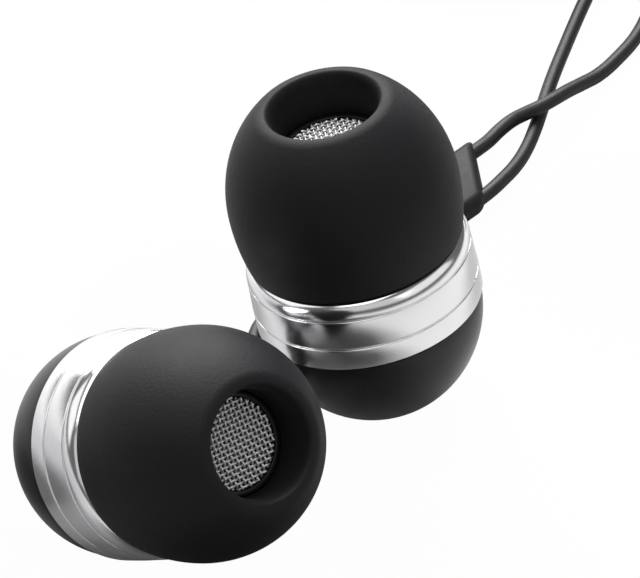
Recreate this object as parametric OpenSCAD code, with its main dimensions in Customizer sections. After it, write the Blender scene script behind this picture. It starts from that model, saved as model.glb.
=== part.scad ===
// Wired in-ear earphones: two buds lying beside each other, a flat slider on the two
// thin bud cords, a Y-splitter, and a main cord wound up with its 3.5 mm plug on top.
// Each bud is drawn in its own frame: Z = 0 is the seam between ring and dome, +Z runs
// out through the ear tip, and +X is the side that the strain relief leaves from.

/* [Metal ring] */
// Outer diameter at the seam with the dome
ring_d = 12.5; // [11.5:0.1:13.5]
// How much smaller the diameter is at the shoulder
ring_taper = 0.1; // [0:0.02:0.2]
// Length of the narrow band next to the dome
narrow_band = 1.2; // [0.9:0.05:1.5]
// Length of the wide flat band
wide_band = 1.7; // [1.4:0.05:2.2]
// Width of the two turned grooves
groove_w = 0.12; // [0.08:0.01:0.2]
// Depth of the two turned grooves
groove_deep = 0.1; // [0.05:0.01:0.2]
// Length of the rounded shoulder under the ear tip
shoulder = 0.9; // [0.8:0.05:1.2]
// Wall of the ring round the shells
ring_wall = 0.65; // [0.5:0.05:0.9]

/* [Rear dome] */
// How far the dome stands in from the ring
dome_step = 0.12; // [0.05:0.01:0.3]
// Depth of the dome behind the seam
dome_depth = 6.45; // [6.2:0.05:7.2]
// Wall of the dome
dome_wall = 0.8; // [0.6:0.05:1]
// Dark gap between dome and ring
seam_gap = 0.12; // [0.08:0.01:0.2]
// Length of the dome's spigot inside the ring
spigot = 1.95; // [1.8:0.05:2.05]

/* [Ear tip] */
// How far the ball of the tip stands out past the ring
tip_overhang = 0.12; // [0:0.02:0.5]
// Gap between ring and tip skirt
skirt_gap = 0.15; // [0.1:0.05:0.4]
// Length from the skirt edge to the widest place
tip_back = 3.1; // [2.6:0.1:3.6]
// Half length of the ball in front of the widest place
tip_front = 7.06; // [6.8:0.02:7.6]
// Half length of the flatter ball behind the widest place
tip_back_axis = 8.97; // [7.5:0.01:10]
// Where the ball turns into the rolled lip, in degrees
lip_start = 52; // [46:1:54]
// Rounding of the lip, outwards
lip_round = 0.95; // [0.8:0.05:1]
// Rounding of the lip, towards the throat
lip_in = 0.35; // [0.3:0.05:0.5]
// Wall of the umbrella
tip_wall = 0.6; // [0.5:0.05:0.8]
// Wall of the inner sleeve
sleeve_wall = 0.7; // [0.6:0.05:0.8]

/* [Nozzle] */
// Diameter of the sound tube
nozzle_d = 5.3; // [5:0.1:5.5]
// Height of the barb that holds the tip
barb_high = 0.2; // [0.1:0.02:0.25]
// Length of the barb
barb_long = 1.45; // [1.2:0.05:2]
// Length of the sound tube in front of the ring
nozzle_long = 6.5; // [6.2:0.05:6.8]
// Bore of the sound tube
sound_bore = 3.6; // [3:0.1:3.8]
// Wires across the woven mesh
mesh_wires = 18; // [10:1:19]
// Thickness of one wire
wire_d = 0.12; // [0.08:0.01:0.14]

/* [Driver] */
// Diameter of the voice coil's inside
coil_bore = 4.2; // [3.8:0.05:4.4]
// Thickness of the voice coil's wall
coil_wall = 0.18; // [0.12:0.01:0.2]
// Clearance between voice coil and magnet parts
air_gap = 0.13; // [0.1:0.01:0.15]
// How far the diaphragm moves each way
throw = 0.15; // [0.05:0.01:0.15]
// Thickness of the magnet
magnet_h = 0.65; // [0.5:0.05:0.7]
// Width of the soft surround round the diaphragm
surround_w = 0.63; // [0.5:0.01:0.7]

/* [Strain relief] */
// Distance of the strain relief behind the seam
relief_back = 2.2; // [2:0.05:2.4]
// Distance of its end from the bud's axis
relief_end = 9.6; // [9.4:0.1:9.7]
// Diameter where it leaves the dome's boss
relief_d = 2.6; // [2.2:0.1:2.8]
// Diameter at its end
relief_end_d = 1.5; // [1.4:0.05:1.8]

/* [Cords] */
// Diameter of each bud cord
bud_cord_d = 0.8; // [0.7:0.05:0.9]
// Diameter of the main cord
main_cord_d = 1.8; // [1.4:0.1:1.8]
// Gap between neighbouring turns of a coil
turn_gap = 0.45; // [0.41:0.01:0.6]
// Radius of a bud cord's coil at the middle of its turns
bud_coil_r = 6.1; // [6:0.1:6.3]
// Radius of the main cord's coil at the middle of its turns
main_coil_r = 9.6; // [9.4:0.1:9.8]

/* [Ties] */
// Thickness of a bud cord's tie
small_tie_thick = 0.3; // [0.2:0.05:0.4]
// Thickness of the main cord's ties
main_tie_thick = 0.5; // [0.3:0.05:0.6]
// Width of a tie
tie_w = 3; // [2:0.1:3.5]

/* [Slider] */
// Width across both cords
slider_w = 4; // [3.9:0.1:4.2]
// Length along the cords, at the longer side
slider_long = 5.6; // [5:0.1:5.8]
// How much shorter it is at the other side
slider_slant = 3; // [0:0.1:3.2]
// Thickness
slider_thick = 1.5; // [1.4:0.1:1.6]
// Running clearance round each cord
slide_fit = 0.06; // [0.05:0.01:0.08]

/* [Y-splitter] */
// Length of the splitter
splitter_long = 8; // [7.5:0.1:8.2]
// Width at the two bud cords
splitter_w = 4.4; // [4.2:0.1:4.6]
// Thickness
splitter_thick = 2.8; // [2.6:0.1:2.9]

/* [Plug] */
// Diameter of the contacts
pin_d = 3.5; // [3.5:0.01:3.51]
// Length of the contacts
pin_long = 14; // [13.5:0.1:14.5]
// Diameter of the handle
handle_d = 5.6; // [5.2:0.1:6]
// Length of the handle
handle_long = 13; // [11:0.5:14]
// Length of the strain relief behind the handle
plug_relief = 7; // [6:0.5:8]

/* [Hidden] */
$fn = 72;

// Clearances
fit = 0.04;             // between glued or pressed shells
seat = 0.02;            // between stacked faces
tip_fit = 0.05;         // between tip sleeve and barb
cut = 0.1;              // how far a cutting solid runs past a face

// Bud, from the ring outwards
ring_r = ring_d / 2;
ring_front_r = ring_r - ring_taper / 2;
ring_bore_r = ring_r - ring_wall;
ring_long = narrow_band + wide_band + 2 * groove_w + shoulder;
lip_wall = 0.7;                               // wall of the ring's front lip
lip_deep = 0.4;                               // how far the lip reaches in
lip_bore_r = ring_bore_r - lip_deep;
spigot_r = ring_bore_r - fit;
spigot_wall = 0.6;
driver_r = spigot_r - spigot_wall - fit;
dome_r = ring_r - dome_step;
dome_in_r = dome_r - dome_wall;
dome_in_depth = dome_depth - dome_wall;

// Ear tip
tip_r = ring_r + tip_overhang;
skirt_z = ring_long + skirt_gap;
wide_z = skirt_z + tip_back;
skirt_angle = asin(tip_back / tip_back_axis);
lip_normal = atan2(cos(lip_start) / tip_r, sin(lip_start) / tip_front);
lip_r = tip_r * cos(lip_start) - lip_round * sin(lip_normal);
lip_z = wide_z + tip_front * sin(lip_start) - lip_round * cos(lip_normal);
throat_r = lip_r - lip_in;
web_angle = lip_start - 8;                    // where umbrella and sleeve join inside

// Nozzle
nozzle_r = nozzle_d / 2;
barb_r = nozzle_r + barb_high;
sleeve_r = barb_r + tip_fit;
nozzle_end = ring_long + nozzle_long;
face_r = lip_bore_r - fit;                    // front face of the housing, inside the lip
face_z = ring_long + 0.05;
cone_high = 0.65;                             // height of the front face's cone
mesh_thick = 0.15;
mesh_seat = 0.05;                             // how deep the mesh lies in its recess
mesh_wall = 0.33;                             // of the barb round the mesh
mesh_r = barb_r - mesh_wall - seat;
mesh_z = nozzle_end - mesh_seat - mesh_thick;
bore_r = sound_bore / 2;
damper_step = 0.25;
damper_h = 0.6;

// Driver
coil_in_r = coil_bore / 2;
coil_out_r = coil_in_r + coil_wall;
plate_r = coil_in_r - air_gap;
magnet_r = plate_r - 0.12;
yoke_in_r = coil_out_r + air_gap;
yoke_r = yoke_in_r + 0.46;
plate_h = 0.41;
yoke_base = 0.45;
yoke_z = -1.1;                                // back of the yoke
plate_top = yoke_z + yoke_base + magnet_h + plate_h + 2 * seat;
film = 0.08;                                  // thickness of diaphragm and surround
ledge_z = 1.25;                               // the frame's ledge under the surround
rim_z = ledge_z + seat;
ledge_w = 0.33;
frame_wall = 0.35;
frame_in_r = driver_r - frame_wall;
cone_gap = 0.05;                              // between the diaphragm and the surround's inside
cone_r = frame_in_r - ledge_w - surround_w - cone_gap;  // outside of the moving diaphragm
cone_low = 1;                                 // height of the diaphragm over the voice coil
cone_top = 1.5;                               // height of its centre
frame_top = spigot;
cover_h = 0.13;
frame_floor = 0.35;
floor_z = -0.15;                              // underside of the frame's floor

// Strain relief
relief_r = relief_d / 2;
boss_r = relief_r + 0.45;
boss_end = ring_r + 0.65;
flange_in = 4;                                // the inner flange, from the bud's axis
flange_out = 4.42;
flange_r = relief_r + 0.3;
cord_bore_r = bud_cord_d / 2 + 0.05;
cord_start = 2.9;                             // inner end of the cord, from the bud's axis
crimp_wall = 0.35;
crimp_long = 0.9;

// Outlines, as [radius, height] along the bud's axis
function ball(r, z, axis, from, to, step) =
    [for (b = [from:step:to]) [r * cos(b), z + axis * sin(b)]];
function dome_outline() = ball(dome_r, -seam_gap, -dome_depth, 0, 90, 5);
function tip_outside() = concat(
    ball(tip_r, wide_z, -tip_back_axis, skirt_angle, 0, -skirt_angle / 4),
    ball(tip_r, wide_z, tip_front, 5, lip_start, 5),
    [for (q = [lip_normal:-12:-90])
        [lip_r + (q > 0 ? lip_round : lip_in) * sin(q), lip_z + lip_round * cos(q)]]);

// Poses of the buds: the lean of the axis from upright, the way it leans and the turn
// of the strain relief round it, all in degrees, and the seam's place on the floor
LEAN = 0;
WAY = 1;
ROLL = 2;
PLACE = 3;
left = [53, -47, 67.5, [-6.41, -3.71]];
right = [15.5, 137, -41, [6.5, 6.87]];
bud_profile = concat(tip_outside(), dome_outline(), [[ring_r, 0], [ring_r, narrow_band]]);
function lowest(bud) = min([for (p = bud_profile) p[1] * cos(bud[LEAN]) - p[0] * sin(bud[LEAN])]);
function axis_of(bud) = [sin(bud[LEAN]) * cos(bud[WAY]), sin(bud[LEAN]) * sin(bud[WAY])];
function reach(bud, i, way) = bud[PLACE][i] + way * max([for (p = bud_profile)
    way * p[1] * axis_of(bud)[i] + p[0] * sqrt(1 - pow(axis_of(bud)[i], 2))]);
function middle(i) = (min(reach(left, i, -1), reach(right, i, -1))
    + max(reach(left, i, 1), reach(right, i, 1))) / 2;
centre = [middle(0), middle(1), 0];

// A place in a bud's own frame, in the frame of the whole object
function turned(p, a) = [p[0] * cos(a) - p[1] * sin(a), p[0] * sin(a) + p[1] * cos(a), p[2]];
function leaned(p, a) = [p[0] * cos(a) + p[2] * sin(a), p[1], p[2] * cos(a) - p[0] * sin(a)];
function from_bud(bud, p) = turned(leaned(turned(p, bud[ROLL]), bud[LEAN]), bud[WAY])
    + [bud[PLACE][0], bud[PLACE][1], -lowest(bud)] - centre;

// Cord routes, points chosen by hand, from each bud to its coil
bud_cord_r = bud_cord_d / 2;
main_cord_r = main_cord_d / 2;
slide_z = slider_thick / 2 + 0.05;            // height of the cords in the slider
slide_way = 45;                               // the way the slider's cords run
slide_gap = 1.42;                             // from the slider's middle to each cord
slide_start = [7.79, 17.79, slide_z];         // start of the straight stretch
slide_run = 8.4;                              // length of the straight stretch
slide_back = 2.5;                             // how far the slider can run back
slide_dir = [cos(slide_way), sin(slide_way), 0];
slide_side = [sin(slide_way), -cos(slide_way), 0];
function on_slide(along, side) = slide_start + along * slide_dir + side * slide_gap * slide_side;

left_route = concat(
    [from_bud(left, [cord_start, 0, -relief_back]), from_bud(left, [relief_end, 0, -relief_back])],
    [[1.2, 2.8, 1.7], [1.4, 3.9, 1.1], [1.2, 5.1, 0.65], [0.8, 6.5, 0.45], [0.4, 8.1, 0.4],
     [0.2, 9.6, 0.4], [0.4, 10.9, 0.4], [1.1, 12, 0.4], [2.2, 12.9, 0.4], [3.7, 13.6, 0.4],
     [5.5, 14.3, 0.4], [7.2, 15.3, 0.6]],
    [on_slide(0, 1), on_slide(slide_run / 3, 1), on_slide(slide_run * 0.72, 1)],
    [[14, 22.4, 0.65], [14.7, 23.6, 0.5], [15.3, 25, 0.4], [15.8, 26.6, 0.4],
     [16.2, 28.2, 0.4], [16.8, 30.6, 0.4], [17.5, 33, 0.4], [18.3, 35.6, 0.4],
     [19.2, 38.4, 0.4], [20, 41.4, 0.5]]);
right_route = concat(
    [from_bud(right, [cord_start, 0, -relief_back]), from_bud(right, [relief_end, 0, -relief_back])],
    [[6, 16.8, 1.9], [6.2, 17.9, 1.2]],
    [on_slide(0, -1), on_slide(slide_run / 2, -1), on_slide(slide_run, -1)],
    [[13.2, 25.4, 0.65], [13.9, 26.4, 0.6], [14.6, 27, 0.75], [15.3, 27.2, 1.05], [16, 27.4, 1.3],
     [16.7, 27.9, 1.35], [17.6, 28.85, 1.15], [18.5, 29.9, 0.75], [19.4, 30.9, 0.45],
     [20.5, 32.3, 0.4], [21.7, 34.3, 0.4], [22.5, 36.8, 0.4], [22.8, 39.4, 0.4], [22.75, 42, 0.5]]);

// Coils: middle, start angle, sense (1 = anticlockwise), turns in a layer and layers
bud_pitch = bud_cord_d + turn_gap;
main_pitch = main_cord_d + turn_gap;
bud_turns = 3;
bud_layers = 2;
main_turns = 3.575;
main_layers = 4;
pair_x = 21.57;                               // line between the two bud coils
leg_gap = 1.14;                               // from that line to each leg of the splitter
coil_y = 46.5;
bud_coil_out = bud_coil_r + bud_turns * bud_pitch / 2;
main_coil_out = main_coil_r + main_turns * main_pitch / 2;
coil_z = bud_cord_r + small_tie_thick + seat;
left_coil_at = [pair_x - leg_gap - bud_coil_out, coil_y, coil_z];
right_coil_at = [pair_x + leg_gap + bud_coil_out, coil_y, coil_z];
main_coil_at = [pair_x - main_coil_out, 70, main_cord_r + main_tie_thick + seat];
rings = 24;                                   // rings of a coil's tube in one turn

function climb(x) = let (c = min(max(x, 0), 1)) c * c * (3 - 2 * c);
function coil_height(u, turns, layers) =
    layers == 1 ? 0 : climb((u - (layers - 1) * turns) * 2 + 0.5) + coil_height(u, turns, layers - 1);
function coil_radius(u, turns, mid, pitch) =
    let (f = u / turns, odd = floor(f) % 2, g = f - floor(f))
    mid + turns * pitch * (odd == 1 ? g - 0.5 : 0.5 - g);
function coil_path(at, start, sense, mid, pitch, turns, layers, lead) =
    let (total = turns * layers, n = round(total * rings),
         out = mid + turns * pitch / 2,
         last = start + sense * total * 360,
         top = at[2] + (layers - 1) * pitch)
    concat(
        [[at[0] + out * cos(start) + sense * lead * sin(start),
          at[1] + out * sin(start) - sense * lead * cos(start), at[2]]],
        [for (i = [0:n])
            let (u = i / n * total, a = start + sense * u * 360,
                 r = coil_radius(min(u, total - 0.0001), turns, mid, pitch))
            [at[0] + r * cos(a), at[1] + r * sin(a), at[2] + pitch * coil_height(u, turns, layers)]],
        [[at[0] + out * cos(last) - sense * lead * sin(last),
          at[1] + out * sin(last) + sense * lead * cos(last), top]]);
function least_gap(path, d) =
    let (n = len(path) - 1)
    min([for (i = [1:n - 1]) for (j = [i + 12:1:n - 1]) norm(path[i] - path[j])]) - d;

left_coil = coil_path(left_coil_at, 0, 1, bud_coil_r, bud_pitch, bud_turns, bud_layers, bud_cord_d);
right_coil = coil_path(right_coil_at, 180, -1, bud_coil_r, bud_pitch, bud_turns, bud_layers, bud_cord_d);
main_coil = coil_path(main_coil_at, 0, 1, main_coil_r, main_pitch, main_turns, main_layers, main_cord_d);

// Splitter and main cord
splitter_y = 52;
leg_in = 1;                                   // from the middle to each cord inside the splitter
split_z = splitter_thick / 2 + 0.05;
neck_y = splitter_y + splitter_long;
function into(coil) = [coil[0] + unit(coil[0] - coil[1]), coil[0]];
function out_of(coil) = let (n = len(coil) - 1) [coil[n], coil[n] + unit(coil[n] - coil[n - 1])];
function leg(side, coil) = concat(out_of(coil), [[pair_x + side * leg_gap, 49.5, 1.75],
    [pair_x + side * leg_in, 50.8, 1.5], [pair_x + side * leg_in, splitter_y, split_z],
    [pair_x + side * leg_in, splitter_y + 2, split_z]]);
left_tail = leg(-1, left_coil);
right_tail = leg(1, right_coil);
main_route = concat([[pair_x, neck_y - 2, split_z], [pair_x, neck_y, split_z], [pair_x, 61.8, 1.25],
    [pair_x, 63.6, 1.05], [pair_x, 65.4, 1.15]], into(main_coil));

// Plug, lying across the main coil with its contacts pointing along +X
handle_r = handle_d / 2;
pin_r = pin_d / 2;
plug_y = 70;
plug_z = main_coil_at[2] + (main_layers - 1) * main_pitch + main_cord_r + handle_r + 0.1;
plug_x = 2.6;                                 // start of the plug's strain relief
handle_x = plug_x + plug_relief;
pin_x = handle_x + handle_long;
main_tail = concat(out_of(main_coil),
    [[-3.2, 79.2, 8.9], [-5, 76.4, 9.8], [-5.2, 73.6, 10.8], [-3.9, 71.3, 11.7]],
    [[-1.4, plug_y + 0.1, plug_z], [plug_x, plug_y, plug_z], [plug_x + 2, plug_y, plug_z]]);

// Tube swept along a route, square to it at both ends
function unit(v) = v / norm(v);
function heading(path, i) = unit(path[min(i + 1, len(path) - 1)] - path[max(i - 1, 0)]);
function hoop(p, t, r, sides) =
    let (side = unit(cross([0, 0, 1], t)), up = cross(t, side))
    [for (k = [0:sides - 1]) p + r * (cos(k * 360 / sides) * side + sin(k * 360 / sides) * up)];
module tube(path, r, sides = 8) {
    n = len(path);
    polyhedron(
        points = [for (i = [0:n - 1]) each hoop(path[i], heading(path, i), r, sides)],
        faces = concat(
            [for (i = [0:n - 2]) for (k = [0:sides - 1])
                let (a = i * sides + k, b = i * sides + (k + 1) % sides)
                each [[a, a + sides, b], [b, a + sides, b + sides]]],
            [for (k = [1:sides - 2]) [0, k, k + 1]],
            [for (k = [1:sides - 2])
                [(n - 1) * sides, (n - 1) * sides + k + 1, (n - 1) * sides + k]]));
}

// Helpers
module at_bud(bud) {
    translate([bud[PLACE][0], bud[PLACE][1], -lowest(bud)] - centre)
        rotate([0, bud[LEAN], bud[WAY]]) rotate([0, 0, bud[ROLL]]) children();
}
module band(r_out, r_in, z, h) {
    translate([0, 0, z]) difference() {
        cylinder(r = r_out, h = h);
        translate([0, 0, -cut]) cylinder(r = r_in, h = h + 2 * cut);
    }
}
module along_x(x) {
    translate([x, 0, -relief_back]) rotate([0, 90, 0]) children();
}
module rod(a, b, r) {
    d = b - a;
    translate(a) rotate([0, acos(d[2] / norm(d)), atan2(d[1], d[0])]) cylinder(r = r, h = norm(d), $fn = 16);
}

// Bud pieces
module ear_tip() {
    inner_r = tip_r - tip_wall;
    sleeve_out = sleeve_r + sleeve_wall;
    web_z = wide_z + (tip_front - tip_wall) * sin(web_angle) - 0.6;
    color("#1a191d") rotate_extrude() polygon(concat(
        [[sleeve_r, face_z + cone_high + 0.1], [sleeve_r, nozzle_end + 0.1],
         [throat_r, nozzle_end + 0.1]],
        [for (i = [len(tip_outside()) - 1:-1:0]) tip_outside()[i]],
        [[tip_r * cos(skirt_angle) - 0.15, skirt_z - 0.05],
         [inner_r * cos(skirt_angle) + 0.1, skirt_z + 0.05]],
        ball(inner_r, wide_z, -tip_back_axis, skirt_angle - 3, 0, -(skirt_angle - 3) / 3),
        ball(inner_r, wide_z, tip_front - tip_wall, 6, web_angle, 6),
        [[sleeve_out + 0.3, web_z + 0.3], [sleeve_out, web_z], [sleeve_out, face_z + cone_high + 0.1]]));
}

module nozzle_housing() {
    rear_z = spigot + 0.2;
    stop_z = ring_long - lip_wall - fit;
    seat_z = mesh_z - damper_step - damper_h;
    color("#141316") rotate_extrude() polygon([
        [spigot_r, rear_z], [spigot_r, stop_z], [face_r, stop_z], [face_r, face_z],
        [sleeve_r + 0.35, face_z + cone_high - 0.15], [nozzle_r, face_z + cone_high],
        [nozzle_r, nozzle_end - barb_long - barb_high], [barb_r, nozzle_end - barb_long],
        [barb_r, nozzle_end - 0.25], [barb_r - 0.08, nozzle_end],
        [mesh_r + seat, nozzle_end], [mesh_r + seat, mesh_z - seat],
        [bore_r + damper_step, mesh_z - seat], [bore_r + damper_step, seat_z],
        [bore_r, seat_z], [bore_r, face_z + 0.4], [bore_r + 0.8, face_z - 0.2],
        [driver_r, rear_z + 0.8], [driver_r, rear_z]]);
}

module nozzle_mesh() {
    pitch = 2 * mesh_r / mesh_wires;
    half = floor(mesh_wires / 2);
    color("silver") translate([0, 0, mesh_z]) linear_extrude(mesh_thick) difference() {
        circle(r = mesh_r);
        for (i = [-half:half]) for (j = [-half:half])
            if (norm([i, j]) * pitch < mesh_r - pitch)
                translate([i * pitch, j * pitch]) square(pitch - wire_d, center = true);
    }
}

module nozzle_damper() {
    color("dimgray") translate([0, 0, mesh_z - damper_step - damper_h + seat])
        cylinder(r = bore_r + damper_step - fit, h = damper_h);
}

module metal_ring() {
    g1 = narrow_band;
    g2 = narrow_band + groove_w + wide_band;
    s = g2 + groove_w;
    color("#c9cacc") rotate_extrude() polygon(concat(
        [[ring_bore_r, 0], [ring_r - 0.06, 0], [ring_r, 0.06],
         [ring_r, g1], [ring_r - groove_deep, g1 + groove_w / 4],
         [ring_r - groove_deep, g1 + groove_w * 3 / 4], [ring_r, g1 + groove_w],
         [ring_front_r, g2], [ring_front_r - groove_deep, g2 + groove_w / 4],
         [ring_front_r - groove_deep, g2 + groove_w * 3 / 4], [ring_front_r, s]],
        [for (q = [10:10:80])
            [ring_front_r - 0.5 * (1 - cos(q)), s + (ring_long - s) * sin(q)]],
        [[ring_front_r - 0.6, ring_long], [lip_bore_r, ring_long],
         [lip_bore_r, ring_long - lip_wall], [ring_bore_r, ring_long - lip_wall]]));
}

module rear_dome() {
    spigot_in = spigot_r - spigot_wall;
    turn = acos(spigot_in / dome_in_r);
    color("#0d0c10") difference() {
        union() {
            rotate_extrude() polygon(concat(
                [[spigot_in, spigot], [spigot_r, spigot], [spigot_r, -seam_gap]],
                dome_outline(),
                ball(dome_in_r, -seam_gap, -dome_in_depth, 90, turn, -(90 - turn) / 14)));
            intersection() {
                along_x(dome_in_r - 1.4) cylinder(r = boss_r, h = boss_end - dome_in_r + 1.4);
                difference() {
                    translate([0, 0, -dome_depth]) cylinder(r = ring_r + 2, h = dome_depth - seam_gap);
                    dome_hollow(-seam_gap);
                }
            }
        }
        along_x(0) cylinder(r = flange_r + fit, h = flange_out + fit);
        along_x(0) cylinder(r = relief_r + fit, h = boss_end + cut);
        translate([0, 0, -dome_depth - 1]) cylinder(r = 0.35, h = 2);
    }
}
module dome_hollow(top) {
    rotate_extrude() polygon(concat([[0, top]], ball(dome_in_r, top, -dome_in_depth, 0, 90, 5)));
}

module strain_relief() {
    steps = 3;
    span = relief_end - boss_end - 0.05;
    color("#18171a") along_x(0) rotate_extrude($fn = 48) polygon(concat(
        [[cord_bore_r, flange_in], [flange_r, flange_in], [flange_r, flange_out],
         [relief_r, flange_out], [relief_r, boss_end + 0.05], [relief_r + 0.2, boss_end + 0.05],
         [relief_r + 0.2, boss_end + 0.35]],
        [for (i = [0:steps - 1]) let (
            x = boss_end + 0.5 + (span - 0.5) * i / steps,
            r = relief_r - (relief_r - relief_end_d / 2) * i / steps, w = (span - 0.5) / steps)
            each [[r, x], [r - 0.06, x + w * 0.55], [r - 0.22, x + w * 0.6], [r - 0.24, x + w * 0.9]]],
        [[relief_end_d / 2, relief_end - 0.15], [relief_end_d / 2 - 0.1, relief_end],
         [cord_bore_r, relief_end]]));
}

module cord_crimp() {
    color("#b08a45") along_x(cord_start + fit) difference() {
        cylinder(r = bud_cord_r + crimp_wall, h = crimp_long);
        translate([0, 0, -cut]) cylinder(r = bud_cord_r + seat, h = crimp_long + 2 * cut);
    }
}

module vent_felt() {
    color("#e9e6df") translate([0, 0, -seam_gap - dome_in_depth + 0.12]) cylinder(r = 1, h = 0.4);
}

module driver_cover() {
    color("#9b9da1") translate([0, 0, frame_top + seat]) difference() {
        cylinder(r = driver_r, h = cover_h);
        translate([0, 0, -cut]) cylinder(r = 0.6, h = cover_h + 2 * cut);
        for (a = [0:60:300]) rotate(a) translate([2.6, 0, -cut]) cylinder(r = 0.5, h = cover_h + 2 * cut, $fn = 24);
    }
}

module surround() {
    inside = cone_r + cone_gap;
    flat = frame_in_r - ledge_w;
    half = (flat - inside) / 2;
    roll = 0.22;
    color("#c58a3a") rotate_extrude() polygon(concat(
        [[frame_in_r - seat, rim_z], [frame_in_r - seat, rim_z + film], [flat, rim_z + film]],
        [for (q = [20:20:160]) [flat - half + half * cos(q), rim_z + film + roll * sin(q)]],
        [[inside, rim_z + film], [inside, rim_z]],
        [for (q = [160:-20:20]) [flat - half + half * cos(q) * 0.98, rim_z + roll * sin(q)]]));
}

module diaphragm() {
    mid = (coil_in_r + coil_out_r) / 2;
    dome_pts = [for (q = [0:15:90]) [mid * sin(q), cone_low + (cone_top - cone_low) * cos(q)]];
    color("#d9c7a0") rotate_extrude() polygon(concat(
        [for (p = dome_pts) [p[0], p[1] + film]],
        [[coil_out_r, cone_low + film], [cone_r, rim_z + film], [cone_r, rim_z], [coil_out_r, cone_low]],
        [for (i = [len(dome_pts) - 1:-1:0]) dome_pts[i]]));
}

module voice_coil() {
    low = yoke_z + yoke_base + throw + 0.1;
    color("#b4652c") band(coil_out_r, coil_in_r, low, cone_low - seat - low);
}

module top_plate() {
    color("#8d9094") translate([0, 0, plate_top - plate_h]) cylinder(r = plate_r, h = plate_h);
}

module magnet() {
    color("#5b5e63") translate([0, 0, yoke_z + yoke_base + seat]) cylinder(r = magnet_r, h = magnet_h);
}

module yoke() {
    color("#8d9094") difference() {
        translate([0, 0, yoke_z]) cylinder(r = yoke_r, h = plate_top - yoke_z);
        translate([0, 0, yoke_z + yoke_base]) cylinder(r = yoke_in_r, h = plate_top - yoke_z);
    }
}

module driver_frame() {
    hole_r = yoke_r + fit;
    color("#2c2d31") difference() {
        union() {
            band(driver_r, hole_r, floor_z, frame_floor);
            band(driver_r, frame_in_r - ledge_w, floor_z, ledge_z - floor_z);
            band(driver_r, frame_in_r, floor_z, frame_top - floor_z);
            band(hole_r + 0.33, hole_r, yoke_z + 0.1, floor_z - yoke_z - 0.1);
        }
        for (a = [60:60:300]) rotate(a) translate([3.7, 0, floor_z - cut]) cylinder(r = 0.35, h = 1, $fn = 24);
    }
}

module terminal_board() {
    low = floor_z - 0.35;
    wedge = 28;
    color("#2e6b46") intersection() {
        band(driver_r - 0.25, yoke_r + fit + 0.4, low, 0.35 - seat);
        translate([0, 0, low - cut]) linear_extrude(1)
            polygon([[0, 0], 2 * driver_r * [cos(wedge), -sin(wedge)], 2 * driver_r * [cos(wedge), sin(wedge)]]);
    }
}

module lead_wires() {
    low = floor_z - 0.35;
    for (s = [-1, 1]) color(s > 0 ? "#b23b2e" : "#3d7d4a") {
        rod([2.82, s * 0.25, -relief_back], [2.5, s * 0.7, -2], 0.1);
        rod([2.5, s * 0.7, -2], [3.1, s * 1.5, -1.55], 0.1);
        rod([3.1, s * 1.5, -1.55], [3.9, s * 1.5, low - 0.15], 0.1);
        translate([2.5, s * 0.7, -2]) sphere(r = 0.1, $fn = 16);
        translate([3.1, s * 1.5, -1.55]) sphere(r = 0.1, $fn = 16);
        translate([3.9, s * 1.5, low - 0.22]) cylinder(r = 0.28, h = 0.2, $fn = 24);
    }
}

// Pieces on the cords
module slider_shape(l, w, h, slant) {
    intersection() {
        rotate([90, 0, 90]) linear_extrude(l) union() {
            for (s = [-1, 1]) translate([s * (w - h) / 2, 0]) circle(d = h, $fn = 48);
            square([w - h, h], center = true);
        }
        translate([0, 0, -h]) linear_extrude(2 * h) offset(r = 0.5, $fn = 32) offset(delta = -0.5)
            polygon([[0, -w / 2], [l - slant, -w / 2], [l, w / 2], [0, w / 2]]);
    }
}
module cord_slider() {
    color("#1c1b1e") translate(on_slide(slide_run - slider_long, 0)) rotate(slide_way) difference() {
        slider_shape(slider_long, slider_w, slider_thick, slider_slant);
        for (s = [-1, 1]) translate([-cut, s * slide_gap, 0]) rotate([0, 90, 0])
            cylinder(r = bud_cord_r + slide_fit, h = slider_long + 2 * cut, $fn = 48);
    }
}

module y_splitter() {
    neck_r = main_cord_r + 0.6;
    long = splitter_long;
    fork_r = splitter_thick / 2;
    color("#1c1b1e") translate([pair_x, splitter_y, split_z]) difference() {
        hull() {
            for (s = [-1, 1]) translate([s * (splitter_w / 2 - fork_r), 0, 0]) rotate([-90, 0, 0])
                cylinder(r1 = fork_r - 0.2, r2 = fork_r, h = 1, $fn = 32);
            rotate([-90, 0, 0]) cylinder(r = fork_r, h = long * 0.55, $fn = 32);
            translate([0, long - 0.6, 0]) rotate([-90, 0, 0]) cylinder(r1 = neck_r, r2 = neck_r - 0.3, h = 0.6, $fn = 32);
        }
        for (s = [-1, 1]) translate([s * leg_in, -cut, 0]) rotate([-90, 0, 0])
            cylinder(r = bud_cord_r + seat, h = 2 + cut + seat, $fn = 32);
        translate([0, long - 2 - seat, 0]) rotate([-90, 0, 0]) cylinder(r = main_cord_r + seat, h = 2 + cut + seat, $fn = 32);
    }
}

module tie(coil_at, mid, turns, pitch, layers, r, thick, angle) {
    wide = turns * pitch + 2 * r + 2 * seat + 0.3;
    high = (layers - 1) * pitch + 2 * r + 2 * seat;
    color("#26262a") translate(coil_at) rotate(angle)
        translate([mid, 0, (layers - 1) * pitch / 2]) rotate([90, 0, 0])
        linear_extrude(tie_w, center = true) difference() {
            square([wide + 2 * thick, high + 2 * thick], center = true);
            square([wide, high], center = true);
        }
}
module bud_tie(coil_at, angle) {
    tie(coil_at, bud_coil_r, bud_turns, bud_pitch, bud_layers, bud_cord_r, small_tie_thick, angle);
}
module main_ties() {
    for (angle = [75, 255])
        tie(main_coil_at, main_coil_r, main_turns, main_pitch, main_layers, main_cord_r, main_tie_thick, angle);
}

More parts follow.
